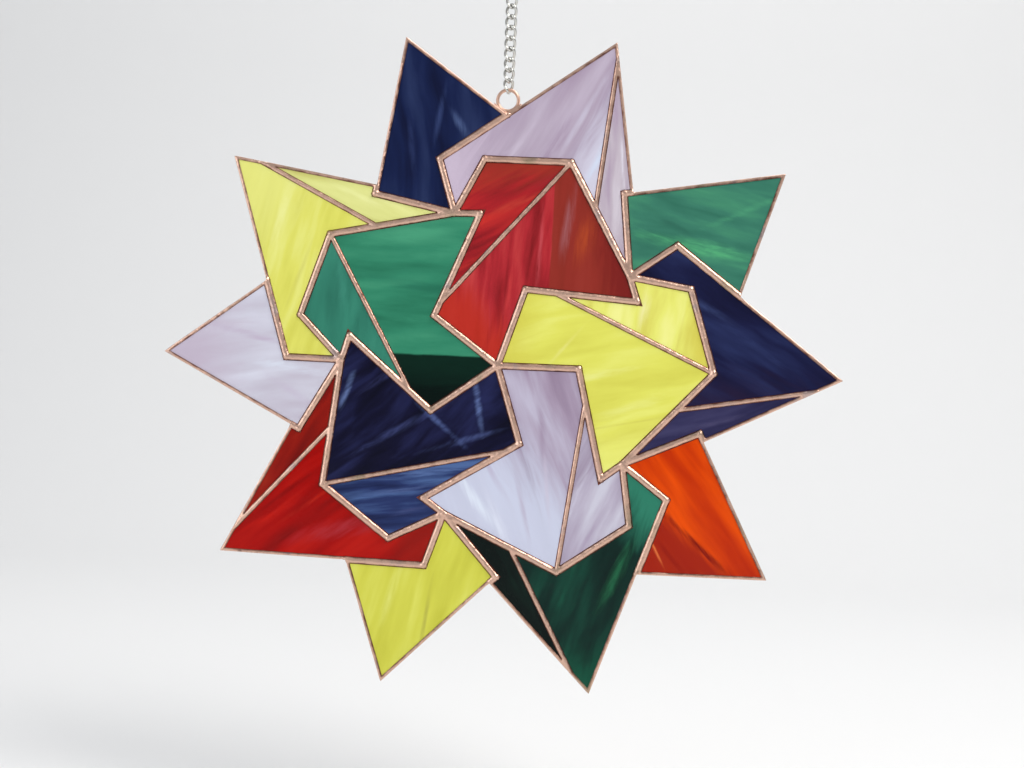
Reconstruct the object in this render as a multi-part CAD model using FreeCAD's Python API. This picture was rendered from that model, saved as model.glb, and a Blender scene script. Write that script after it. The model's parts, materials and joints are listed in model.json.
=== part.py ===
import FreeCAD, Part
import math
import os

# A stained glass star that hangs on a chain, in millimetres.
# Twenty-five panes of 3 mm glass are wrapped in copper foil and soldered edge to edge.
# The pattern is five interlocked three-sided pyramids, seen along their five-fold axis.
# The frame: origin where the hook bears in the top ring, +Z up, and the front faces -Y.

V = FreeCAD.Vector
Y_AXIS = V(0, 1, 0)
FIFTHS = 5
FIFTH_TURN = 360.0 / FIFTHS

# Cartoon of one fifth of the star: how far each corner lies from the hub, and its angle
# in degrees from +X. The next fifth round is the same, one fifth of a turn clockwise.
cartoon = {
    "hub_corner": (36.3, 144.2),
    "beak": (68.4, 26.9),
    "meeting": (70.8, 36.3),
    "inner_tip": (96.0, 72.4),
    "inner_shoulder": (92.3, 96.0),
    "outer_shoulder": (96.0, 108.1),
    "step_corner": (94.8, 56.0),
    "double_tip": (152.5, 72.0),
    "single_tip": (152.5, 108.0),
}
arm_notch = 35.8            # outer shoulder to the notch where the single tip comes in
step_width = 4.1            # step corner to the notch beside the double tip
# The maker cut these lines by eye, so each fifth has its own.
inner_line_foot = [5.5, 12.7, 15.1, 6.5, 12.5]        # hub corner to the inner line
outer_line_foot = [23.5, 23.0, 23.5, 26.4, 21.6]      # inner tip to the outer line
outer_line_end = [5.8, 11.6, 10.8, 10.6, 11.9]        # double tip to the outer line

# Glass, foil and solder
glass_thickness = 3.0
seam_half_gap = 0.45        # cartoon line to the glass edge
foil_thickness = 0.08
seam_overlap = 1.20         # foil on the face of the glass at a wide seam
line_overlap = 0.70         # foil on the face at the narrow seam inside a tip
rim_overlap = 0.95          # foil on the face along the rim
bead_height = 1.10          # solder above the glass at a wide seam
line_bead_height = 0.85
rim_solder = 0.25           # tinning above the foil along the rim
rim_bevel = 0.20
cut_clear = 1.0             # how far a cutting block stands past the face it cuts
bead_faces = 4              # flat faces over a bead's back
blob_sides = 8
blob_extra = 0.25           # how far a joint's blob stands wider than its bead
blob_rise = 0.10
blob_top = 0.50             # width of its flat top, as a share of the blob

# Star ring, soldered in the notch between the top two tips
ring_wire = 1.50
ring_radius = 4.70          # to the middle of the wire
ring_film = 0.20            # solder between the wire and the foil
ring_fillet = 0.80          # solder standing above the rim beside the ring
ring_solder_half = 1.00     # half its thickness
ring_hug = 0.35             # how far that solder reaches past the middle of the wire

# Chain of twisted links, and the plain ring at its top
link_wire = 1.35
link_pitch = 4.72
link_half_width = 2.10      # to the middle of the wire
link_fullness = 0.80        # below 1, so that its sides are straighter than an ellipse's
link_half_twist = 47.0      # degrees
link_turn = 8.0             # how the chain is turned as it hangs
link_turn_step = 8.5        # more turn on each of the lowest links, to meet the star ring
turning_links = 4
link_play = 0.08
link_count = 10
top_ring_wire = 1.60
top_ring_radius = 5.50
wire_sides = 8
ring_steps = 24
link_steps = 20

glass_half = glass_thickness / 2
foil_half = glass_half + foil_thickness
rim_half = foil_half + rim_solder
link_half_length = (link_pitch + link_wire + link_play) / 2


def place(radius, degrees):
    angle = math.radians(degrees)
    return V(radius * math.cos(angle), 0, radius * math.sin(angle))


def corner(name, k):
    radius, degrees = cartoon[name]
    return place(radius, degrees - FIFTH_TURN * k)


def toward(start, end, distance):
    return start + (end - start).normalize() * distance


# The five corners that lie along another line, worked out from it
def inner_foot(k):
    return toward(corner("hub_corner", k), corner("beak", k - 1), inner_line_foot[k % FIFTHS])


def outer_foot(k):
    return toward(corner("inner_tip", k), corner("meeting", k), outer_line_foot[k % FIFTHS])


def arm_corner(k):
    return toward(corner("outer_shoulder", k), corner("double_tip", k), arm_notch)


def step_notch(k):
    return toward(corner("step_corner", k), corner("single_tip", k + 1), step_width)


def line_end(k):
    return toward(corner("double_tip", k), step_notch(k), outer_line_end[k % FIFTHS])


hub = V(0, 0, 0)


# Panes as closed rounds of (corner, kind of edge that starts there)
def inner_large(k):
    return [
        (corner("inner_tip", k), "seam"),
        (corner("meeting", k), "seam"),
        (corner("beak", k), "seam"),
        (corner("hub_corner", k + 1), "seam"),
        (hub, "seam"),
        (corner("hub_corner", k), "seam"),
        (inner_foot(k), "line"),
    ]


def inner_small(k):
    return [
        (inner_foot(k), "seam"),
        (corner("beak", k - 1), "seam"),
        (corner("meeting", k - 1), "seam"),
        (corner("inner_shoulder", k), "seam"),
        (corner("inner_tip", k), "line"),
    ]


def outer_large(k):
    return [
        (corner("double_tip", k), "rim"),
        (line_end(k), "line"),
        (outer_foot(k), "seam"),
        (corner("inner_tip", k), "seam"),
        (corner("inner_shoulder", k), "seam"),
        (corner("meeting", k - 1), "seam"),
        (corner("outer_shoulder", k), "rim"),
    ]


def outer_sliver(k):
    return [
        (line_end(k), "rim"),
        (step_notch(k), "rim"),
        (corner("step_corner", k), "seam"),
        (corner("meeting", k), "seam"),
        (outer_foot(k), "line"),
    ]


def outer_single(k):
    return [
        (corner("single_tip", k), "rim"),
        (arm_corner(k), "seam"),
        (corner("outer_shoulder", k), "seam"),
        (corner("meeting", k - 1), "seam"),
        (corner("step_corner", k - 1), "rim"),
    ]


# Which way each pane is named, and which of the five colours the fifth k gives it
colours = ["red", "yellow", "violet", "blue", "green"]
pane_kinds = {
    "inner_large": (inner_large, 0),
    "inner_small": (inner_small, 0),
    "outer_large": (outer_large, 3),
    "outer_sliver": (outer_sliver, 3),
    "outer_single": (outer_single, 2),
}
overlap = {"seam": seam_overlap, "line": line_overlap, "rim": rim_overlap}


def shifted(points, distances):
    """The closed outline with each edge moved inwards by its own distance."""
    count = len(points)
    area = sum(points[i].x * points[(i + 1) % count].z - points[(i + 1) % count].x * points[i].z
               for i in range(count))
    side = 1.0 if area > 0 else -1.0
    moved = []
    for i in range(count):
        before = (points[i] - points[i - 1]).normalize()
        after = (points[(i + 1) % count] - points[i]).normalize()
        normal_before = V(-before.z, 0, before.x) * side
        normal_after = V(-after.z, 0, after.x) * side
        cross = before.x * after.z - before.z * after.x
        start = points[i] + normal_before * distances[i - 1]
        offset = points[i] + normal_after * distances[i] - start
        slide = (offset.x * after.z - offset.z * after.x) / cross
        moved.append(start + before * slide)
    return moved


def flat_face(points):
    return Part.Face(Part.makePolygon(points + [points[0]]))


def plate(points, half):
    outline = flat_face(points)
    outline.translate(V(0, -half, 0))
    return outline.extrude(V(0, 2 * half, 0))


def glass_outline(edges):
    points = [point for point, kind in edges]
    return shifted(points, [seam_half_gap] * len(points))


def foil_outline(edges):
    points = [point for point, kind in edges]
    return shifted(points, [seam_half_gap - foil_thickness] * len(points))


def foil_window(edges):
    points = [point for point, kind in edges]
    return shifted(points, [seam_half_gap + overlap[kind] for point, kind in edges])


# A bead of solder has the same rounded back on both faces of the glass.
bead_half_width = {
    "seam": seam_half_gap + seam_overlap,
    "line": seam_half_gap + line_overlap,
}
bead_rise = {"seam": bead_height, "line": line_bead_height}


def bead_back(half_width, rise):
    """Points over the back of a bead: across the seam, and up from the glass."""
    back_radius = (half_width ** 2 + rise ** 2) / (2 * rise)
    reach = math.asin(half_width / back_radius)
    points = []
    for i in range(bead_faces + 1):
        angle = reach * (2 * i / bead_faces - 1)
        points.append((back_radius * math.sin(angle), rise - back_radius * (1 - math.cos(angle))))
    return points


def bead(start, end, kind):
    along = (end - start).normalize()
    across = V(-along.z, 0, along.x)
    back = bead_back(bead_half_width[kind], bead_rise[kind])
    front = [start + across * x - Y_AXIS * (glass_half + up) for x, up in back]
    rear = [start + across * x + Y_AXIS * (glass_half + up) for x, up in reversed(back)]
    return flat_face(front + rear).extrude(end - start)


def blob(point, kind):
    half_width = bead_half_width[kind] + blob_extra
    crown = glass_half + bead_rise[kind] + blob_rise
    levels = [
        (-crown, half_width * blob_top),
        (-glass_half, half_width),
        (glass_half, half_width),
        (crown, half_width * blob_top),
    ]
    rounds = []
    for depth, reach in levels:
        middle = point + Y_AXIS * depth
        around = [middle + place(reach, 360 * i / blob_sides) for i in range(blob_sides)]
        rounds.append(Part.makePolygon(around + [around[0]]))
    return Part.makeLoft(rounds, True, True)


def wire_loop(path, middle, thickness):
    """A closed loop of wire in flat steps. A side of its section faces the loop's middle."""
    rounds = []
    for i in range(len(path)):
        way = (path[(i + 1) % len(path)] - path[i - 1]).normalize()
        out = path[i] - middle
        out = (out - way * out.dot(way)).normalize()
        side = way.cross(out)
        around = []
        for j in range(wire_sides):
            angle = 2 * math.pi * (j + 0.5) / wire_sides
            around.append(
                path[i] + (out * math.cos(angle) + side * math.sin(angle)) * (thickness / 2))
        rounds.append(around)
    skin = []
    for i in range(len(rounds)):
        here = rounds[i - 1]
        there = rounds[i]
        for j in range(wire_sides):
            skin += [
                flat_face([here[j - 1], here[j], there[j]]),
                flat_face([here[j - 1], there[j], there[j - 1]]),
            ]
    return Part.makeSolid(Part.makeShell(skin))


def wire_ring(radius, thickness, middle, sideways):
    """A closed ring that stands upright, with one direction along it given."""
    path = []
    for i in range(ring_steps):
        angle = 2 * math.pi * i / ring_steps
        path.append(middle + (V(0, 0, math.cos(angle)) + sideways * math.sin(angle)) * radius)
    return wire_loop(path, middle, thickness)


seams = []
joints = [(hub, "seam")]
outline = []
for k in range(FIFTHS):
    foot = inner_foot(k)
    meeting = corner("meeting", k)
    meeting_before = corner("meeting", k - 1)
    seams += [
        (hub, corner("hub_corner", k), "seam"),
        (corner("hub_corner", k), corner("beak", k - 1), "seam"),
        (foot, corner("inner_tip", k), "line"),
        (corner("beak", k), meeting, "seam"),
        (meeting, corner("inner_tip", k), "seam"),
        (corner("inner_tip", k), corner("inner_shoulder", k), "seam"),
        (corner("inner_shoulder", k), meeting_before, "seam"),
        (outer_foot(k), line_end(k), "line"),
        (meeting, corner("step_corner", k), "seam"),
        (corner("step_corner", k), step_notch(k), "seam"),
        (meeting_before, corner("outer_shoulder", k), "seam"),
        (corner("outer_shoulder", k), arm_corner(k), "seam"),
    ]
    for name in ["hub_corner", "beak", "meeting", "inner_tip", "inner_shoulder",
                 "outer_shoulder", "step_corner"]:
        joints.append((corner(name, k), "seam"))
    joints += [
        (foot, "line"),
        (outer_foot(k), "line"),
        (arm_corner(k), "seam"),
    ]
    outline += [
        corner("single_tip", k),
        arm_corner(k),
        corner("double_tip", k),
        step_notch(k),
    ]

# The ring sits on the line that halves the top notch, a film of solder away from the foil.
notch = arm_corner(0)
left_edge = (corner("single_tip", 0) - notch).normalize()
right_edge = (corner("double_tip", 0) - notch).normalize()
ring_outer = ring_radius + ring_wire / 2
ring_clear = ring_outer + ring_film - (seam_half_gap - foil_thickness)
ring_seat = ring_clear / math.sin(left_edge.getAngle(right_edge) / 2)
ring_middle = toward(notch, notch + left_edge + right_edge, ring_seat)
star_ring = wire_ring(ring_radius, ring_wire, ring_middle, V(1, 0, 0))

panes = {}
foils = {}
filled = []
for k in range(FIFTHS):
    foils[k] = []
    for kind, (edges_of, colour_step) in pane_kinds.items():
        edges = edges_of(k)
        colour = colours[(k - colour_step) % FIFTHS]
        glass_shape = plate(glass_outline(edges), glass_half)
        wrapped = plate(foil_outline(edges), foil_half)
        window = plate(foil_window(edges), foil_half + cut_clear)
        panes[kind + "_" + colour] = glass_shape
        foils[k].append(wrapped.cut([glass_shape, window]))
        filled.append(wrapped)

# The solder: every bead and blob, kept inside the star's outline, with the thin rim
beads = [bead(start, end, kind) for start, end, kind in seams]
blobs = [blob(point, kind) for point, kind in joints]
network = beads[0].multiFuse(beads[1:] + blobs)
network = network.common(plate(outline, rim_half + bead_height + blob_rise))
rim_inner = shifted(outline, [seam_half_gap + rim_overlap] * len(outline))
rim = plate(outline, rim_half)
rim_edges = [edge for edge in rim.Edges if abs(edge.CenterOfMass.y) > rim_half / 2]
rim = rim.makeChamfer(rim_bevel, rim_edges).cut(plate(rim_inner, rim_half + cut_clear))

# Solder that beds the ring: round its lower half, with a small fillet on each side
bed_outline = shifted(outline, [-ring_fillet] * len(outline))
bed = Part.makeCylinder(
    ring_outer + ring_fillet, 2 * ring_solder_half,
    ring_middle - Y_AXIS * ring_solder_half, Y_AXIS)
bed = bed.common(plate(bed_outline, ring_solder_half))
ring_hole = Part.makeCylinder(
    ring_radius - ring_hug, 2 * rim_half, ring_middle - Y_AXIS * rim_half, Y_AXIS)
solder = network.fuse([rim, bed]).cut(filled + [ring_hole, star_ring])
print("solder solids", len(solder.Solids), "valid", solder.isValid(), "volume", solder.Volume)


def flat_way(degrees):
    return V(math.cos(math.radians(degrees)), math.sin(math.radians(degrees)), 0)


def link(turn):
    """An oval loop of wire whose top and bottom are twisted apart, its middle at the origin."""
    path = []
    for i in range(link_steps):
        angle = 2 * math.pi * i / link_steps
        across = math.sin(angle)
        reach = link_half_width * math.copysign(abs(across) ** link_fullness, across)
        out = flat_way(turn - link_half_twist * math.cos(angle))
        path.append(out * reach + V(0, 0, link_half_length * math.cos(angle)))
    return wire_loop(path, V(0, 0, 0), link_wire)


# The chain, from the top ring down
top_ring_middle = V(0, 0, -(top_ring_radius - top_ring_wire / 2))
top_ring = wire_ring(top_ring_radius, top_ring_wire, top_ring_middle,
                     flat_way(link_turn - link_half_twist + 90))
hung_on = top_ring_middle.z - top_ring_radius
held_wire = top_ring_wire
links = {}
for number in range(link_count, 0, -1):
    link_top = hung_on + (held_wire + link_wire) / 2 + link_play
    turn = link_turn + link_turn_step * max(0, turning_links + 1 - number)
    solid = link(turn)
    solid.translate(V(0, 0, link_top - link_half_length))
    links[number] = solid
    print("link", number, "top wire z", round(link_top, 4), "bottom wire z",
          round(link_top - 2 * link_half_length, 4), "turn", round(turn, 3), solid.isValid())
    hung_on = link_top - 2 * link_half_length
    held_wire = link_wire

# The star hangs with its hub straight below the ring.
ring_height = hung_on + (link_wire + ring_wire) / 2 + link_play - ring_radius
hang_turn = math.degrees(math.atan2(ring_middle.z, ring_middle.x)) - 90
hub_height = ring_height - ring_middle.Length
print("ring height", ring_height, "hub height", hub_height, "turned", hang_turn)


def hung(shape):
    turned = shape.copy()
    turned.rotate(hub, Y_AXIS, hang_turn)
    turned.translate(V(0, 0, hub_height))
    return turned


os.makedirs("parts", exist_ok=True)
for name, shape in panes.items():
    hung(shape).exportStep("parts/pane_" + name + ".step")
for k in range(FIFTHS):
    hung(Part.makeCompound(foils[k])).exportStep("parts/foil_" + str(k + 1) + ".step")
hung(solder).exportStep("parts/solder.step")
hung(star_ring).exportStep("parts/star_ring.step")
for number, shape in links.items():
    shape.exportStep("parts/chain_link_%02d.step" % number)
top_ring.exportStep("parts/top_ring.step")
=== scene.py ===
import bpy
import bmesh
import json
import math
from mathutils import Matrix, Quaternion, Vector, noise
from mathutils.bvhtree import BVHTree
from mathutils.kdtree import KDTree


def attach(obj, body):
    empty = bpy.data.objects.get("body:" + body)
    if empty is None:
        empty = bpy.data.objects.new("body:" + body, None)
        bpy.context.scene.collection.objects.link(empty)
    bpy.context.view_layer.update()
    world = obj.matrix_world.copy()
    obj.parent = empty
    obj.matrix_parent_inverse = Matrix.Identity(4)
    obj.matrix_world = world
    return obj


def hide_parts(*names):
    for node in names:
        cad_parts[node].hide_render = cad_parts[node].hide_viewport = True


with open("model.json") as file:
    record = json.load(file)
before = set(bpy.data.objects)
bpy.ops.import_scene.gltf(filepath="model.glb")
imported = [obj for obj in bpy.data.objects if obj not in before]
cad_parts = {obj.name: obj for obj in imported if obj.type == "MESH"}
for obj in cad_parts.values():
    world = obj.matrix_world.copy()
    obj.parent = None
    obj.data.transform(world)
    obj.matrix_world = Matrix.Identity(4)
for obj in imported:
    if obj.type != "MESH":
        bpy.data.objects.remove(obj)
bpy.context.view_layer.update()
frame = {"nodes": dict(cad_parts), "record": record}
scene = bpy.context.scene
nodes = frame["nodes"]

# The camera stands in front of the star, a little to its right and above its middle,
# and is turned a little about its own axis, as the star hangs slightly out of plumb.
MM = 0.001
camera_distance = 0.700
camera_azimuth = math.radians(4.9)
camera_elevation = math.radians(1.82)
camera_roll = math.radians(2.245)
camera_target = Vector((6.7, 0.0, -186.65)) * MM
sensor_width = 36.0
picture_width = 1024
focal_pixels = 1563.8

look = Vector((
    -math.sin(camera_azimuth) * math.cos(camera_elevation),
    math.cos(camera_azimuth) * math.cos(camera_elevation),
    -math.sin(camera_elevation),
))
camera_data = bpy.data.cameras.new("camera")
camera_data.sensor_width = sensor_width
camera_data.lens = focal_pixels / picture_width * sensor_width
camera_data.clip_start = 0.01
camera = bpy.data.objects.new("camera", camera_data)
scene.collection.objects.link(camera)
camera.location = camera_target - look * camera_distance
camera.rotation_mode = "QUATERNION"
camera.rotation_quaternion = look.to_track_quat("-Z", "Y") @ Quaternion((0, 0, 1), camera_roll)
scene.camera = camera
scene.view_settings.view_transform = "Standard"

# The room: a pale floor just under the star that turns up into a pale wall behind it,
# one seamless sheet, lit by a large soft lamp at the upper right and a weaker one at the left.
hub = Vector((0.0, 0.0, -178.69)) * MM
floor_height = -0.40
sweep_half_width = 4.0
sweep_front = -3.0
wall_distance = 1.4
sweep_radius = 0.6
wall_top = 2.6


def new_object(name, mesh):
    made = bpy.data.objects.new(name, mesh)
    scene.collection.objects.link(made)
    return made


def mesh_from(bm, name):
    mesh = bpy.data.meshes.new(name)
    bm.to_mesh(mesh)
    bm.free()
    return mesh


room = bmesh.new()
front_edge = [
    room.verts.new((side * sweep_half_width, sweep_front, floor_height)) for side in (-1, 1)
]
edge = room.edges.new(front_edge)
grown = bmesh.ops.extrude_edge_only(room, edges=[edge])["geom"]
moved = [v for v in grown if isinstance(v, bmesh.types.BMVert)]
bmesh.ops.translate(room, verts=moved, vec=(0, wall_distance - sweep_radius - sweep_front, 0))
last_edge = [e for e in grown if isinstance(e, bmesh.types.BMEdge)]
bend = bmesh.ops.spin(
    room, geom=moved + last_edge, cent=(0, wall_distance - sweep_radius, floor_height + sweep_radius),
    axis=(1, 0, 0), angle=math.radians(90), steps=24, use_merge=False, use_duplicate=False,
)["geom_last"]
last_edge = [e for e in bend if isinstance(e, bmesh.types.BMEdge)]
grown = bmesh.ops.extrude_edge_only(room, edges=last_edge)["geom"]
moved = [v for v in grown if isinstance(v, bmesh.types.BMVert)]
bmesh.ops.translate(room, verts=moved, vec=(0, 0, wall_top - floor_height - sweep_radius))
for face in room.faces:
    face.smooth = True
sweep = new_object("pale_floor_and_wall", mesh_from(room, "pale_floor_and_wall"))

pale = bpy.data.materials.new("pale_paper")
pale.use_nodes = True
pale_shader = pale.node_tree.nodes["Principled BSDF"]
pale_shader.inputs["Base Color"].default_value = (0.80, 0.80, 0.80, 1)
pale_shader.inputs["Roughness"].default_value = 0.9
sweep.data.materials.append(pale)

world = bpy.data.worlds.new("room_light")
world.use_nodes = True
world.node_tree.nodes["Background"].inputs["Color"].default_value = (0.80, 0.82, 0.85, 1)
world.node_tree.nodes["Background"].inputs["Strength"].default_value = 0.55
scene.world = world


def lamp(name, place, size, power, colour):
    data = bpy.data.lights.new(name, "AREA")
    data.shape = "RECTANGLE"
    data.size = size[0]
    data.size_y = size[1]
    data.energy = power
    data.color = colour
    made = bpy.data.objects.new(name, data)
    scene.collection.objects.link(made)
    made.location = hub + Vector(place)
    made.rotation_euler = (-Vector(place)).to_track_quat("-Z", "Y").to_euler()


lamp("key_lamp", (0.95, -0.75, 1.15), (0.7, 0.7), 17.0, (1.0, 0.97, 0.93))
lamp("fill_lamp", (-1.2, -1.1, 0.3), (1.0, 1.0), 7.0, (0.93, 0.96, 1.0))
lamp("wall_lamp", (0.3, 0.3, 1.6), (1.6, 0.8), 14.0, (1.0, 1.0, 1.0))


# Art glass: 3 mm sheet, stirred from two or three colours while soft, so that every pane
# has streaks, soft zones and wisps that run through its whole thickness. It is cut with a
# wheel and ground, and its face keeps a slight ripple from the rollers.
def srgb(red, green, blue):
    linear = []
    for value in (red, green, blue):
        share = value / 255
        linear.append(share / 12.92 if share <= 0.04045 else ((share + 0.055) / 1.055) ** 2.4)
    return (*linear, 1.0)


def link(tree, output, target):
    tree.links.new(output, target)


def group_node(tree, group, vector, **values):
    node = tree.nodes.new("ShaderNodeGroup")
    node.node_tree = group
    link(tree, vector, node.inputs["Vector"])
    for name, value in values.items():
        node.inputs[name.replace("_", " ").capitalize()].default_value = value
    return node


def new_group(name, inputs, outputs):
    group = bpy.data.node_groups.new(name, "ShaderNodeTree")
    for socket, kind, value in inputs:
        made = group.interface.new_socket(socket, in_out="INPUT", socket_type=kind)
        if value is not None:
            made.default_value = value
    for socket, kind in outputs:
        group.interface.new_socket(socket, in_out="OUTPUT", socket_type=kind)
    return group, group.nodes.new("NodeGroupInput"), group.nodes.new("NodeGroupOutput")


# Streaks run along the vector's X: long soft bands, finer threads among them, and smoke.
streaks, streaks_in, streaks_out = new_group(
    "streaks",
    [("Vector", "NodeSocketVector", None), ("Width", "NodeSocketFloat", 8.0),
     ("Stretch", "NodeSocketFloat", 7.0), ("Wander", "NodeSocketFloat", 0.3)],
    [("Bands", "NodeSocketFloat"), ("Threads", "NodeSocketFloat"), ("Smoke", "NodeSocketFloat")],
)


def math_node(tree, operation, first, second=None, third=None):
    node = tree.nodes.new("ShaderNodeMath")
    node.operation = operation
    for slot_number, value in enumerate((first, second, third)):
        if value is None:
            continue
        if isinstance(value, (int, float)):
            node.inputs[slot_number].default_value = value
        else:
            link(tree, value, node.inputs[slot_number])
    return node.outputs[0]


def noise_node(tree, vector, scale, detail, roughness=0.5, distortion=0.0):
    node = tree.nodes.new("ShaderNodeTexNoise")
    link(tree, vector, node.inputs["Vector"])
    node.inputs["Scale"].default_value = scale
    node.inputs["Detail"].default_value = detail
    node.inputs["Roughness"].default_value = roughness
    node.inputs["Distortion"].default_value = distortion
    return node


def vector_math(tree, operation, first, second):
    node = tree.nodes.new("ShaderNodeVectorMath")
    node.operation = operation
    link(tree, first, node.inputs[0])
    if isinstance(second, tuple):
        node.inputs[1].default_value = second
    else:
        link(tree, second, node.inputs[1])
    return node.outputs[0]


drift = noise_node(streaks, streaks_in.outputs["Vector"], 22.0, 2.0)
centred = vector_math(streaks, "SUBTRACT", drift.outputs["Color"], (0.5, 0.5, 0.5))
wander = streaks.nodes.new("ShaderNodeVectorMath")
wander.operation = "SCALE"
link(streaks, centred, wander.inputs[0])
link(streaks, math_node(streaks, "MULTIPLY", streaks_in.outputs["Wander"], 0.02), wander.inputs["Scale"])
wandered = vector_math(streaks, "ADD", streaks_in.outputs["Vector"], wander.outputs[0])
parts = streaks.nodes.new("ShaderNodeSeparateXYZ")
link(streaks, wandered, parts.inputs[0])
inverse_width = math_node(streaks, "DIVIDE", 1000.0, streaks_in.outputs["Width"])
across = math_node(streaks, "MULTIPLY", parts.outputs["Z"], inverse_width)
along = math_node(streaks, "MULTIPLY", parts.outputs["X"], inverse_width)
along = math_node(streaks, "DIVIDE", along, streaks_in.outputs["Stretch"])
stretched = streaks.nodes.new("ShaderNodeCombineXYZ")
link(streaks, along, stretched.inputs["X"])
link(streaks, across, stretched.inputs["Z"])
bands = noise_node(streaks, stretched.outputs[0], 1.0, 2.0, 0.45, 0.3)
threads = noise_node(streaks, stretched.outputs[0], 3.1, 4.0, 0.6, 0.2)
smoke = noise_node(streaks, stretched.outputs[0], 1.7, 5.0, 0.55, 1.6)
link(streaks, bands.outputs["Fac"], streaks_out.inputs["Bands"])
link(streaks, threads.outputs["Fac"], streaks_out.inputs["Threads"])
link(streaks, smoke.outputs["Fac"], streaks_out.inputs["Smoke"])


def value_range(tree, value, low, high, smooth=True):
    node = tree.nodes.new("ShaderNodeMapRange")
    node.interpolation_type = "SMOOTHSTEP" if smooth else "LINEAR"
    link(tree, value, node.inputs["Value"])
    node.inputs["From Min"].default_value = low
    node.inputs["From Max"].default_value = high
    return node.outputs["Result"]


def mix_colour(tree, factor, first, second):
    node = tree.nodes.new("ShaderNodeMix")
    node.data_type = "RGBA"
    for slot_name, value in (("Factor", factor), ("A", first), ("B", second)):
        socket = next(s for s in node.inputs if s.name == slot_name and s.enabled)
        if isinstance(value, (int, float, tuple)):
            socket.default_value = value
        else:
            link(tree, value, socket)
    return next(s for s in node.outputs if s.enabled)


def mapped(tree, coordinates, x, z, degrees, size=(1.0, 1.0)):
    """The glass's own plane, centred on a point given in mm from the hub, X along the streak."""
    node = tree.nodes.new("ShaderNodeMapping")
    node.vector_type = "TEXTURE"
    node.inputs["Location"].default_value = (hub.x + x * MM, 0, hub.z + z * MM)
    node.inputs["Rotation"].default_value = (0, -math.radians(degrees), 0)
    node.inputs["Scale"].default_value = (size[0], 1, size[1])
    link(tree, coordinates, node.inputs["Vector"])
    return node.outputs[0]


def art_glass(name, dark, body, light, angle, width, stretch, wander=0.3, zones=(), wisps=()):
    thread_share = 0.25
    material = bpy.data.materials.new(name)
    material.use_nodes = True
    tree = material.node_tree
    shader = tree.nodes["Principled BSDF"]
    coordinates = tree.nodes.new("ShaderNodeTexCoord").outputs["Object"]
    plane = mapped(tree, coordinates, 0, 0, angle)
    pattern = group_node(tree, streaks, plane, width=width, stretch=stretch, wander=wander)
    ramp = tree.nodes.new("ShaderNodeValToRGB")
    ramp.color_ramp.elements[0].position = 0.30
    ramp.color_ramp.elements[0].color = srgb(*dark)
    ramp.color_ramp.elements[1].position = 0.72
    ramp.color_ramp.elements[1].color = srgb(*light)
    middle = ramp.color_ramp.elements.new(0.50)
    middle.color = srgb(*body)
    thread_part = math_node(tree, "SUBTRACT", pattern.outputs["Threads"], 0.5)
    thread_part = math_node(tree, "MULTIPLY", thread_part, thread_share)
    tone = math_node(tree, "ADD", pattern.outputs["Bands"], thread_part)
    link(tree, tone, ramp.inputs["Fac"])
    colour = ramp.outputs["Color"]
    for x, z, degrees, softness, zone_colour, strength in zones:
        local = mapped(tree, coordinates, x, z, degrees)
        split = tree.nodes.new("ShaderNodeSeparateXYZ")
        link(tree, local, split.inputs[0])
        waved = math_node(tree, "SUBTRACT", pattern.outputs["Smoke"], 0.5)
        waved = math_node(tree, "MULTIPLY_ADD", waved, softness * MM, split.outputs["Z"])
        mask = value_range(tree, waved, -softness * MM / 2, softness * MM / 2)
        mask = math_node(tree, "MULTIPLY", mask, strength)
        colour = mix_colour(tree, mask, colour, srgb(*zone_colour))
    for x, z, degrees, length, breadth, wisp_colour, strength in wisps:
        local = mapped(tree, coordinates, x, z, degrees, (length * MM, breadth * MM))
        reach = tree.nodes.new("ShaderNodeVectorMath")
        reach.operation = "LENGTH"
        flat = vector_math(tree, "MULTIPLY", local, (1.0, 0.0, 1.0))
        link(tree, flat, reach.inputs[0])
        curl = math_node(tree, "SUBTRACT", pattern.outputs["Smoke"], 0.5)
        distance = math_node(tree, "MULTIPLY_ADD", curl, -1.4, reach.outputs["Value"])
        mask = value_range(tree, distance, 1.15, 0.0)
        torn = value_range(tree, pattern.outputs["Threads"], 0.28, 0.60, False)
        mask = math_node(tree, "MULTIPLY", mask, torn)
        mask = math_node(tree, "MULTIPLY", mask, strength * 1.2)
        colour = mix_colour(tree, mask, colour, srgb(*wisp_colour))
    link(tree, colour, shader.inputs["Base Color"])
    shader.inputs["Roughness"].default_value = 0.10
    shader.inputs["Specular IOR Level"].default_value = 0.12
    ripple = noise_node(tree, coordinates, 90.0, 2.0)
    bump = tree.nodes.new("ShaderNodeBump")
    bump.inputs["Strength"].default_value = 0.12
    bump.inputs["Distance"].default_value = 0.0006
    link(tree, ripple.outputs["Fac"], bump.inputs["Height"])
    link(tree, bump.outputs[0], shader.inputs["Normal"])
    return material


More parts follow.
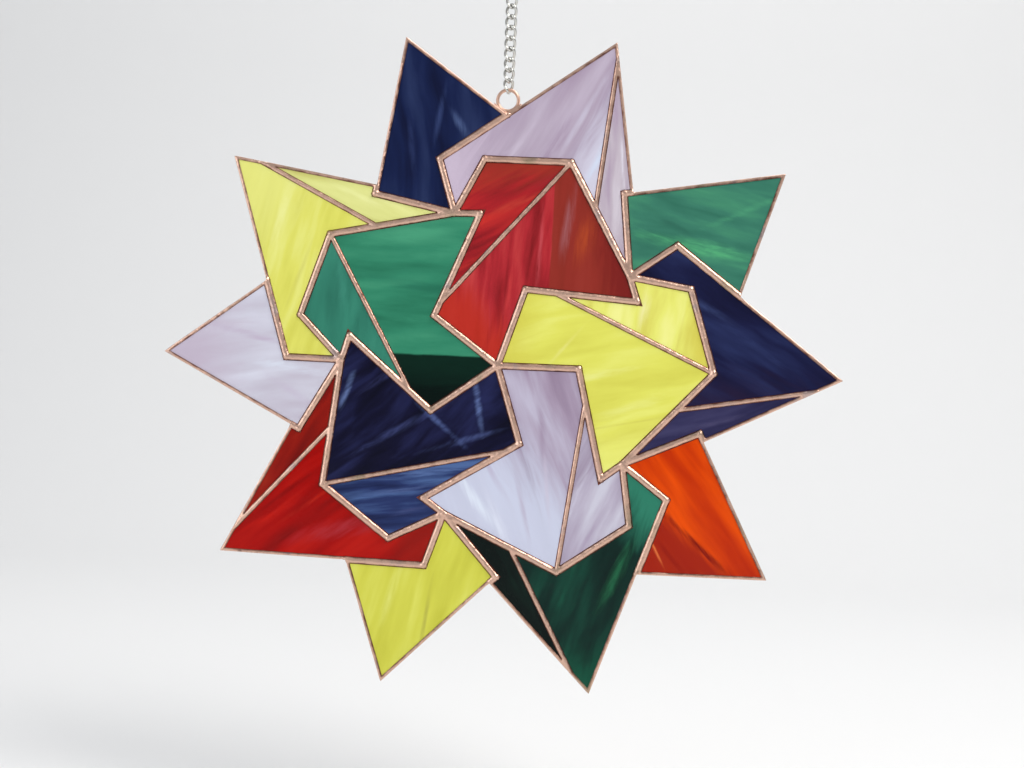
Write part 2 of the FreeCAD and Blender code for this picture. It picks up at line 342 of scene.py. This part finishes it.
# Each pane: its darkest, middle and lightest colour, the streaks' direction in degrees, their
# width in mm and their stretch; zones (a point from the hub in mm, the direction of the edge,
# its softness, colour, strength) tint what lies left of the edge, and wisps (a point, the
# direction, half length, half breadth, colour, strength) are single streaks.
panes = {
    "pane_inner_large_red": art_glass(
        "red_glass", (118, 22, 26), (170, 40, 48), (196, 66, 66), 86, 7, 8,
        zones=[(-12, 30, 135, 16, (184, 46, 30), 0.8), (22, 52, -91, 0.8, (134, 46, 34), 0.85),
               (47, 38, -80, 12, (112, 26, 26), 0.75)],
        wisps=[(29, 64, 82, 20, 2.6, (166, 112, 118), 0.5), (37, 58, 80, 14, 5, (176, 72, 36), 0.6),
               (17, 50, 88, 22, 1.4, (200, 84, 90), 0.6), (4, 34, 80, 24, 1.6, (196, 60, 60), 0.5),
               (-2, 22, 76, 22, 2.0, (140, 20, 26), 0.5)]),
    "pane_inner_small_red": art_glass(
        "red_glass_small", (118, 24, 30), (162, 32, 38), (192, 46, 42), 28, 7, 7,
        zones=[(0, 84, 8, 22, (148, 52, 36), 0.85)],
        wisps=[(25, 84, 20, 18, 4, (130, 38, 44), 0.6), (-6, 60, 30, 22, 1.6, (118, 20, 28), 0.6),
               (4, 72, 26, 22, 2.0, (190, 70, 54), 0.5), (-10, 48, 32, 20, 1.4, (196, 50, 44), 0.5)]),
    "pane_inner_large_yellow": art_glass(
        "yellow_glass", (208, 205, 84), (219, 219, 96), (230, 232, 126), 12, 12, 5,
        zones=[(14, 12, 90, 18, (206, 199, 80), 0.7), (60, -30, 190, 24, (230, 232, 124), 0.6)],
        wisps=[(55, -24, 12, 20, 0.8, (196, 188, 84), 0.5), (46, -2, 14, 24, 2.4, (230, 231, 150), 0.5),
               (60, -16, 20, 22, 3.0, (232, 234, 150), 0.4), (30, 10, 50, 16, 1.2, (228, 226, 140), 0.4)]),
    "pane_inner_small_yellow": art_glass(
        "yellow_glass_small", (212, 206, 94), (226, 227, 112), (236, 236, 144), 80, 10, 5,
        zones=[(86, 25, -88, 8, (208, 196, 76), 0.65)],
        wisps=[(64, 26, 80, 12, 3, (234, 228, 168), 0.6), (80, 14, 78, 14, 1.4, (204, 196, 88), 0.5)]),
    "pane_inner_large_violet": art_glass(
        "violet_glass", (142, 123, 146), (163, 147, 169), (188, 182, 202), 112, 9, 8,
        zones=[(14, -42, 143, 34, (202, 208, 228), 0.85)],
        wisps=[(-8, -60, 128, 22, 3, (222, 230, 243), 0.7), (4, -72, 114, 22, 2.6, (216, 220, 236), 0.6),
               (21, -29, 96, 20, 2.5, (150, 130, 154), 0.6), (-2, -46, 122, 20, 1.6, (182, 174, 198), 0.6),
               (14, -64, 104, 22, 1.6, (176, 164, 186), 0.6), (24, -52, 96, 20, 1.2, (200, 190, 208), 0.5)]),
    "pane_inner_small_violet": art_glass(
        "violet_glass_small", (156, 143, 164), (177, 168, 188), (199, 197, 212), 66, 8, 7,
        wisps=[(36, -60, 70, 22, 2, (208, 206, 222), 0.6), (44, -74, 60, 18, 1.6, (158, 142, 168), 0.5)]),
    "pane_inner_large_blue": art_glass(
        "navy_glass", (6, 6, 22), (15, 15, 42), (34, 38, 78), 40, 9, 5, wander=0.7,
        wisps=[(-68, -15, 72, 10, 2.0, (104, 124, 174), 0.8), (-8, -18, 100, 14, 2.0, (92, 110, 160), 0.8),
               (-25, -27, 140, 18, 1.8, (80, 96, 148), 0.7), (-43, -30, 30, 28, 2.2, (60, 68, 116), 0.6),
               (-50, -6, 34, 24, 2.0, (52, 56, 100), 0.6), (-14, -34, 18, 22, 1.8, (72, 84, 132), 0.6)]),
    "pane_inner_small_blue": art_glass(
        "navy_glass_small", (20, 28, 64), (38, 52, 98), (76, 102, 152), 8, 5, 9,
        zones=[(-66, -58, 90, 22, (22, 32, 66), 0.75)],
        wisps=[(-30, -49, 9, 26, 2.4, (86, 110, 160), 0.7), (-43, -58, 10, 20, 1.4, (82, 100, 148), 0.6),
               (-34, -66, 14, 18, 1.6, (62, 70, 114), 0.6)]),
    "pane_inner_large_green": art_glass(
        "green_glass", (36, 108, 82), (50, 130, 100), (68, 148, 114), 178, 12, 5,
        zones=[(-25, 3.6, 180, 1.2, (4, 30, 22), 0.98), (-28, -7, 180, 14, (0, 10, 9), 0.85)],
        wisps=[(-43, 57, 8, 26, 4, (72, 156, 120), 0.6), (-20, 52, 12, 22, 3, (68, 150, 116), 0.5),
               (-36, 34, 170, 26, 2.8, (34, 102, 82), 0.6), (-30, 20, 4, 26, 2.0, (58, 140, 108), 0.5)]),
    "pane_inner_small_green": art_glass(
        "green_glass_small", (44, 110, 92), (53, 127, 106), (64, 140, 118), 84, 12, 5,
        wisps=[(-72, 34, 96, 22, 3, (66, 142, 122), 0.5), (-64, 16, 80, 20, 2.4, (38, 100, 84), 0.5)]),
    "pane_outer_large_violet": art_glass(
        "mauve_glass", (160, 142, 164), (174, 159, 178), (190, 178, 196), 60, 12, 7,
        zones=[(-8, 97, 92, 34, (202, 187, 206), 0.8), (34, 97, 242, 14, (208, 207, 224), 0.85)],
        wisps=[(44, 98, 64, 22, 3, (206, 220, 240), 0.7), (21, 98, 60, 30, 4.5, (152, 131, 155), 0.8),
               (34, 112, 62, 26, 2.2, (202, 198, 216), 0.6), (6, 98, 58, 24, 2.6, (206, 196, 212), 0.5)]),
    "pane_outer_sliver_violet": art_glass(
        "mauve_glass_sliver", (172, 154, 174), (188, 176, 188), (206, 198, 208), 92, 6, 8,
        wisps=[(52, 92, 95, 16, 0.9, (220, 216, 228), 0.7), (55, 76, 96, 14, 0.8, (160, 141, 166), 0.6)]),
    "pane_outer_single_blue": art_glass(
        "deep_blue_glass", (12, 19, 50), (19, 30, 68), (36, 48, 86), 97, 10, 6, wander=0.6,
        wisps=[(-21, 107, 122, 10, 2.6, (80, 98, 142), 0.8), (-30, 112, 80, 16, 1.8, (50, 64, 108), 0.7),
               (-42, 96, 96, 22, 2.0, (40, 52, 94), 0.6), (-12, 96, 130, 12, 1.8, (48, 60, 98), 0.6)]),
    "pane_outer_large_blue": art_glass(
        "deep_blue_glass_right", (14, 14, 42), (22, 25, 60), (36, 44, 84), 150, 10, 6, wander=0.5,
        zones=[(109, -6, 176, 26, (36, 25, 52), 0.8)],
        wisps=[(90, 30, 152, 20, 2.6, (56, 68, 112), 0.6), (112, 14, 148, 22, 1.8, (44, 54, 96), 0.6),
               (80, 6, 160, 18, 2.0, (50, 50, 88), 0.5)]),
    "pane_outer_sliver_blue": art_glass(
        "deep_blue_glass_sliver", (34, 32, 64), (48, 46, 82), (64, 62, 98), 18, 8, 6,
        wisps=[(96, -22, 18, 18, 1.6, (74, 70, 104), 0.6)]),
    "pane_outer_large_yellow": art_glass(
        "lemon_glass", (208, 206, 88), (219, 218, 102), (228, 229, 134), 76, 9, 6,
        zones=[(-96, 66, 50, 30, (228, 229, 138), 0.6)],
        wisps=[(-101, 61, 76, 24, 3, (234, 235, 158), 0.5), (-92, 36, 70, 20, 1.4, (200, 196, 92), 0.5),
               (-84, 24, 80, 16, 2.0, (228, 228, 124), 0.4)]),
    "pane_outer_sliver_yellow": art_glass(
        "lemon_glass_sliver", (202, 200, 116), (216, 218, 136), (228, 230, 152), 160, 8, 6,
        wisps=[(-92, 86, 156, 16, 2.0, (182, 176, 100), 0.7), (-66, 74, 158, 16, 2.0, (234, 236, 168), 0.5)]),
    "pane_outer_single_violet": art_glass(
        "white_glass", (186, 178, 194), (200, 198, 212), (213, 214, 228), 8, 12, 5,
        zones=[(-124, 7, 88, 40, (190, 177, 195), 0.85)],
        wisps=[(-110, 9, 168, 24, 2.0, (186, 172, 194), 0.7), (-96, -4, 172, 24, 3, (214, 219, 233), 0.7),
               (-92, -16, 150, 16, 2.4, (192, 182, 202), 0.6)]),
    "pane_outer_large_red": art_glass(
        "bright_red_glass", (126, 3, 2), (158, 5, 2), (178, 20, 10), 38, 9, 7,
        zones=[(-44, -84, -88, 22, (138, 22, 12), 0.65)],
        wisps=[(-66, -76, 14, 30, 5, (164, 42, 50), 0.75), (-93, -60, 38, 24, 1.6, (102, 3, 3), 0.7),
               (-84, -66, 36, 24, 1.4, (190, 36, 20), 0.5), (-104, -74, 30, 18, 1.8, (188, 22, 10), 0.6)]),
    "pane_outer_sliver_red": art_glass(
        "dark_red_glass_sliver", (112, 16, 12), (138, 22, 13), (160, 42, 24), 58, 7, 6,
        wisps=[(-105, -65, 50, 5, 2.2, (206, 96, 44), 0.8)]),
    "pane_outer_single_yellow": art_glass(
        "lemon_glass_bottom", (194, 193, 66), (206, 206, 78), (216, 217, 98), 76, 10, 6,
        wisps=[(-28, -113, 82, 20, 1.2, (166, 162, 70), 0.8), (-44, -104, 72, 22, 2.4, (222, 224, 124), 0.5)]),
    "pane_outer_large_green": art_glass(
        "bottle_green_glass", (3, 26, 24), (7, 42, 35), (16, 66, 52), 70, 10, 5,
        zones=[(60, -62, -50, 24, (48, 127, 103), 0.9), (42, -130, 184, 22, (16, 84, 62), 0.75)],
        wisps=[(57, -90, 64, 20, 3.4, (38, 112, 74), 0.75), (34, -100, 72, 24, 1.8, (18, 76, 58), 0.6)]),
    "pane_outer_sliver_green": art_glass(
        "bottle_green_glass_sliver", (1, 11, 9), (3, 17, 14), (10, 36, 28), 120, 8, 6),
    "pane_outer_single_red": art_glass(
        "orange_glass", (176, 36, 0), (200, 56, 0), (226, 76, 0), 126, 9, 7,
        zones=[(94, -78.5, 139, 7, (150, 28, 10), 0.9)],
        wisps=[(94, -78, -41, 30, 1.8, (112, 2, 0), 0.95), (73, -78, -62, 12, 0.8, (236, 124, 64), 0.7),
               (84, -86, -48, 20, 1.6, (128, 10, 4), 0.7), (100, -94, -44, 14, 2.0, (172, 44, 10), 0.5)]),
    "pane_outer_single_green": art_glass(
        "emerald_glass", (46, 104, 86), (57, 119, 99), (70, 142, 108), 168, 9, 5,
        wisps=[(86, 56, 170, 30, 4, (84, 172, 118), 0.9), (106, 72, 24, 22, 2.0, (76, 154, 114), 0.6),
               (74, 66, 150, 18, 2.4, (42, 94, 80), 0.5)]),
}
for node_name, material in panes.items():
    nodes[node_name].data.materials.clear()
    nodes[node_name].data.materials.append(material)


# Copper foil: thin tape pressed round every pane's edge. Only a hair of it shows beside
# the solder, browned by the patina.
foil_metal = bpy.data.materials.new("copper_foil")
foil_metal.use_nodes = True
foil_shader = foil_metal.node_tree.nodes["Principled BSDF"]
foil_shader.inputs["Base Color"].default_value = srgb(128, 74, 60)
foil_shader.inputs["Metallic"].default_value = 1.0
foil_shader.inputs["Roughness"].default_value = 0.4
for name, node in nodes.items():
    if name.startswith("foil"):
        node.data.materials.clear()
        node.data.materials.append(foil_metal)


# Solder: one lattice of beads run by hand along all the seams, washed with a copper patina, and coloured
# darker on the flanks and lighter on the crowns, partly from the patina and partly as painted shade and
# painted highlight.
# It starts as the CAD lattice, whose shown faces are cut fine, relaxed into round beads and
# pushed about by noise, while the faces that hold the foil stay as they are.
def copper_with_patina_and_painted_shade(name, shaded_flank_colour, highlit_crown_colour, pits=0.35):
    """Dark where the attribute from_toe (mm from the glass) is small, bright on the crowns: the dark flanks
    are copper patina plus painted shade, and the bright crowns are bright copper plus a painted highlight.
    """
    material = bpy.data.materials.new(name)
    material.use_nodes = True
    tree = material.node_tree
    shader = tree.nodes["Principled BSDF"]
    coordinates = tree.nodes.new("ShaderNodeTexCoord").outputs["Object"]
    from_toe = tree.nodes.new("ShaderNodeAttribute")
    from_toe.attribute_name = "from_toe"
    patch = noise_node(tree, coordinates, 260.0, 3.0).outputs["Fac"]
    grain = noise_node(tree, coordinates, 1300.0, 3.0, 0.65).outputs["Fac"]
    uneven = math_node(tree, "SUBTRACT", patch, 0.5)
    height = math_node(tree, "MULTIPLY_ADD", uneven, 1.3, from_toe.outputs["Fac"])
    # Flank-to-crown mix: patina in the hollows plus painted shade on the flanks, and painted highlight on the
    # crowns.
    painted_light_and_patina_mask = value_range(tree, height, 0.05, 1.05)
    colour = mix_colour(tree, painted_light_and_patina_mask, srgb(*shaded_flank_colour), srgb(*highlit_crown_colour))
    tarnish = noise_node(tree, coordinates, 55.0, 3.0, 0.6).outputs["Fac"]
    olive = value_range(tree, tarnish, 0.56, 0.72)
    colour = mix_colour(tree, math_node(tree, "MULTIPLY", olive, 0.6), colour, srgb(150, 138, 112))
    cold = value_range(tree, tarnish, 0.40, 0.28)
    colour = mix_colour(tree, math_node(tree, "MULTIPLY", cold, 0.5), colour, srgb(142, 142, 152))
    dark = value_range(tree, grain, 0.44, 0.30)
    colour = mix_colour(tree, math_node(tree, "MULTIPLY", dark, pits), colour, srgb(48, 30, 28))
    link(tree, colour, shader.inputs["Base Color"])
    shader.inputs["Metallic"].default_value = 1.0
    roughness = tree.nodes.new("ShaderNodeMapRange")
    link(tree, patch, roughness.inputs["Value"])
    roughness.inputs["To Min"].default_value = 0.22
    roughness.inputs["To Max"].default_value = 0.48
    link(tree, roughness.outputs["Result"], shader.inputs["Roughness"])
    lumps = noise_node(tree, coordinates, 420.0, 2.0, 0.5, 0.4).outputs["Fac"]
    relief = math_node(tree, "MULTIPLY_ADD", grain, 0.16, lumps)
    bump = tree.nodes.new("ShaderNodeBump")
    bump.inputs["Strength"].default_value = 0.5
    bump.inputs["Distance"].default_value = 0.0005
    link(tree, relief, bump.inputs["Height"])
    link(tree, bump.outputs[0], shader.inputs["Normal"])
    return material


def merged_copy(node):
    copy = bmesh.new()
    copy.from_mesh(node.data)
    bmesh.ops.remove_doubles(copy, verts=copy.verts, dist=1e-6)
    return copy


def finish_piece(bm, name, material, replaced, from_toe):
    for face in bm.faces:
        face.smooth = True
        face.material_index = 0
    bm.verts.index_update()
    crown_distance = 1.5
    toe_distances = [from_toe.get(v, crown_distance) for v in bm.verts]
    piece = new_object(name, mesh_from(bm, name))
    attribute = piece.data.attributes.new("from_toe", "FLOAT", "POINT")
    attribute.data.foreach_set("value", toe_distances)
    piece.data.materials.append(material)
    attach(piece, frame_body(replaced))
    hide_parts(replaced)
    return piece


def frame_body(node_name):
    for body, members in frame["record"]["behaviour"]["bodies"].items():
        if node_name in members:
            return body


all_glass = bmesh.new()
for name, node in nodes.items():
    if name.startswith("pane"):
        all_glass.from_mesh(node.data)
glass_near = BVHTree.FromBMesh(all_glass)
all_glass.free()

lattice = merged_copy(nodes["solder"])
foil_gap = 0.12 * MM
shown_mark, hidden_mark = 0, 1
for face in lattice.faces:
    near = glass_near.find_nearest(face.calc_center_median())
    face.material_index = hidden_mark if near[3] < foil_gap else shown_mark

# The flat facets along each bead are joined, then sliced across, so that all have even cells.
rim_top = 1.84 * MM
slice_step = 0.95 * MM
on_slice = 0.02 * MM
lattice.normal_update()
inside_facets = [
    e for e in lattice.edges
    if e.calc_face_angle(1) < 0.01
    and all(f.material_index == shown_mark for f in e.link_faces)
    and all(abs(f.calc_center_median().y) > rim_top for f in e.link_faces)
]
bmesh.ops.dissolve_edges(lattice, edges=inside_facets, use_verts=False, use_face_split=False)


def split_at(piece, way, place):
    """Cuts a flat face where it crosses a plane, and returns the faces that it becomes."""
    depth = {v: v.co.dot(way) - place for v in piece.verts}
    if min(depth.values()) > -on_slice or max(depth.values()) < on_slice:
        return [piece]
    ends = [v for v in piece.verts if abs(depth[v]) <= on_slice]
    for edge in list(piece.edges):
        first, second = edge.verts
        if first not in depth or second not in depth:
            continue
        apart = abs(depth[first]) > on_slice and abs(depth[second]) > on_slice
        if apart and depth[first] * depth[second] < 0:
            share = depth[first] / (depth[first] - depth[second])
            ends.append(bmesh.utils.edge_split(edge, first, share)[1])
    if len(ends) != 2:
        return [piece]
    try:
        return [piece, bmesh.utils.face_split(piece, ends[0], ends[1])[0]]
    except ValueError:
        return [piece]


for face in [f for f in lattice.faces if f.material_index == shown_mark]:
    longest = max(face.edges, key=lambda e: e.calc_length())
    if longest.calc_length() < 1.2 * slice_step:
        continue
    way = (longest.verts[1].co - longest.verts[0].co).normalized()
    if way.x + 0.01 * way.y + 0.001 * way.z < 0:
        way = -way
    reach = [v.co.dot(way) / slice_step for v in face.verts]
    pieces = [face]
    for number in range(math.floor(min(reach)) + 1, math.ceil(max(reach))):
        place = number * slice_step
        pieces = [part for piece in pieces for part in split_at(piece, way, place)]
        ahead = [p for p in pieces if max(v.co.dot(way) for v in p.verts) > place + on_slice]
        pieces = ahead or pieces
bmesh.ops.triangulate(lattice, faces=[f for f in lattice.faces if len(f.verts) > 3])

free = [v for v in lattice.verts if all(f.material_index == shown_mark for f in v.link_faces)]
toes = [
    v for v in lattice.verts
    if any(f.material_index == shown_mark for f in v.link_faces)
    and any(f.material_index == hidden_mark for f in v.link_faces)
]
start = {v: v.co.copy() for v in free}
smoothing_rounds = 4
for turn in range(smoothing_rounds):
    bmesh.ops.smooth_vert(
        lattice, verts=free, factor=0.5, use_axis_x=True, use_axis_y=True, use_axis_z=True)
most_moved = 0.20 * MM
for v in free:
    shift = v.co - start[v]
    if shift.length > most_moved:
        v.co = start[v] + shift * (most_moved / shift.length)
lattice.normal_update()
glass_face = 1.5 * MM
moved = []
for v in free:
    spot = v.co / MM
    depth = min(1.0, max(0.0, (abs(v.co.y) - glass_face) / (0.9 * MM)))
    lumps = 0.16 * noise.noise(spot / 4.5) + 0.10 * noise.noise(spot / 1.8)
    wrinkles = 0.06 * abs(noise.noise(spot / 1.1))
    moved.append((v, v.co + v.normal * ((lumps - wrinkles) * depth * MM)))
for v, spot in moved:
    v.co = spot
for v in toes:
    spot = v.co / MM
    v.co.x += 0.10 * MM * noise.noise(spot / 3.0)
    v.co.z += 0.10 * MM * noise.noise(spot / 3.0 + Vector((40, 0, 0)))
toe_tree = KDTree(len(toes))
for number, v in enumerate(toes):
    toe_tree.insert(v.co, number)
toe_tree.balance()
from_toe = {v: toe_tree.find(v.co)[2] / MM for v in free}
from_toe.update({v: 0.0 for v in toes})
# Flank colour: patina and painted shade; crown colour: bright copper with a painted highlight.
solder_metal = copper_with_patina_and_painted_shade("copper_solder", (112, 66, 54), (216, 178, 158))
finish_piece(lattice, "worked_solder", solder_metal, "solder", from_toe)


# Wire pieces: the ring soldered into the top notch and the chain's links and top ring, drawn
# wire bent round, joined and polished. Each is its CAD loop, rounded by subdivision.
def round_wire(name, wire, material):
    loop = merged_copy(nodes[name])
    bmesh.ops.join_triangles(
        loop, faces=loop.faces, angle_face_threshold=3.1, angle_shape_threshold=3.1)
    loop.normal_update()
    swell_share = 0.045
    swell = wire * swell_share * MM
    moved = [(v, v.co + v.normal * swell) for v in loop.verts]
    for v, spot in moved:
        v.co = spot
    piece = finish_piece(loop, "round_" + name, material, name, {})
    rounding = piece.modifiers.new("rounding", "SUBSURF")
    rounding.levels = 2
    rounding.render_levels = 2
    return piece


def plain_metal(name, colour, roughness):
    material = bpy.data.materials.new(name)
    material.use_nodes = True
    shader = material.node_tree.nodes["Principled BSDF"]
    shader.inputs["Base Color"].default_value = srgb(*colour)
    shader.inputs["Metallic"].default_value = 1.0
    shader.inputs["Roughness"].default_value = roughness
    return material


# The ring gets the same painted-shade flank and painted-highlight crown colours; its from_toe is 1.5
# everywhere, so the crown colour covers nearly all of it.
round_wire("star_ring", 1.5, copper_with_patina_and_painted_shade("ring_copper", (150, 104, 88), (214, 176, 156), 0.2))
silver = plain_metal("chain_silver", (204, 203, 198), 0.16)
round_wire("top_ring", 1.6, silver)
for name in nodes:
    if name.startswith("chain_link"):
        round_wire(name, 1.35, silver)
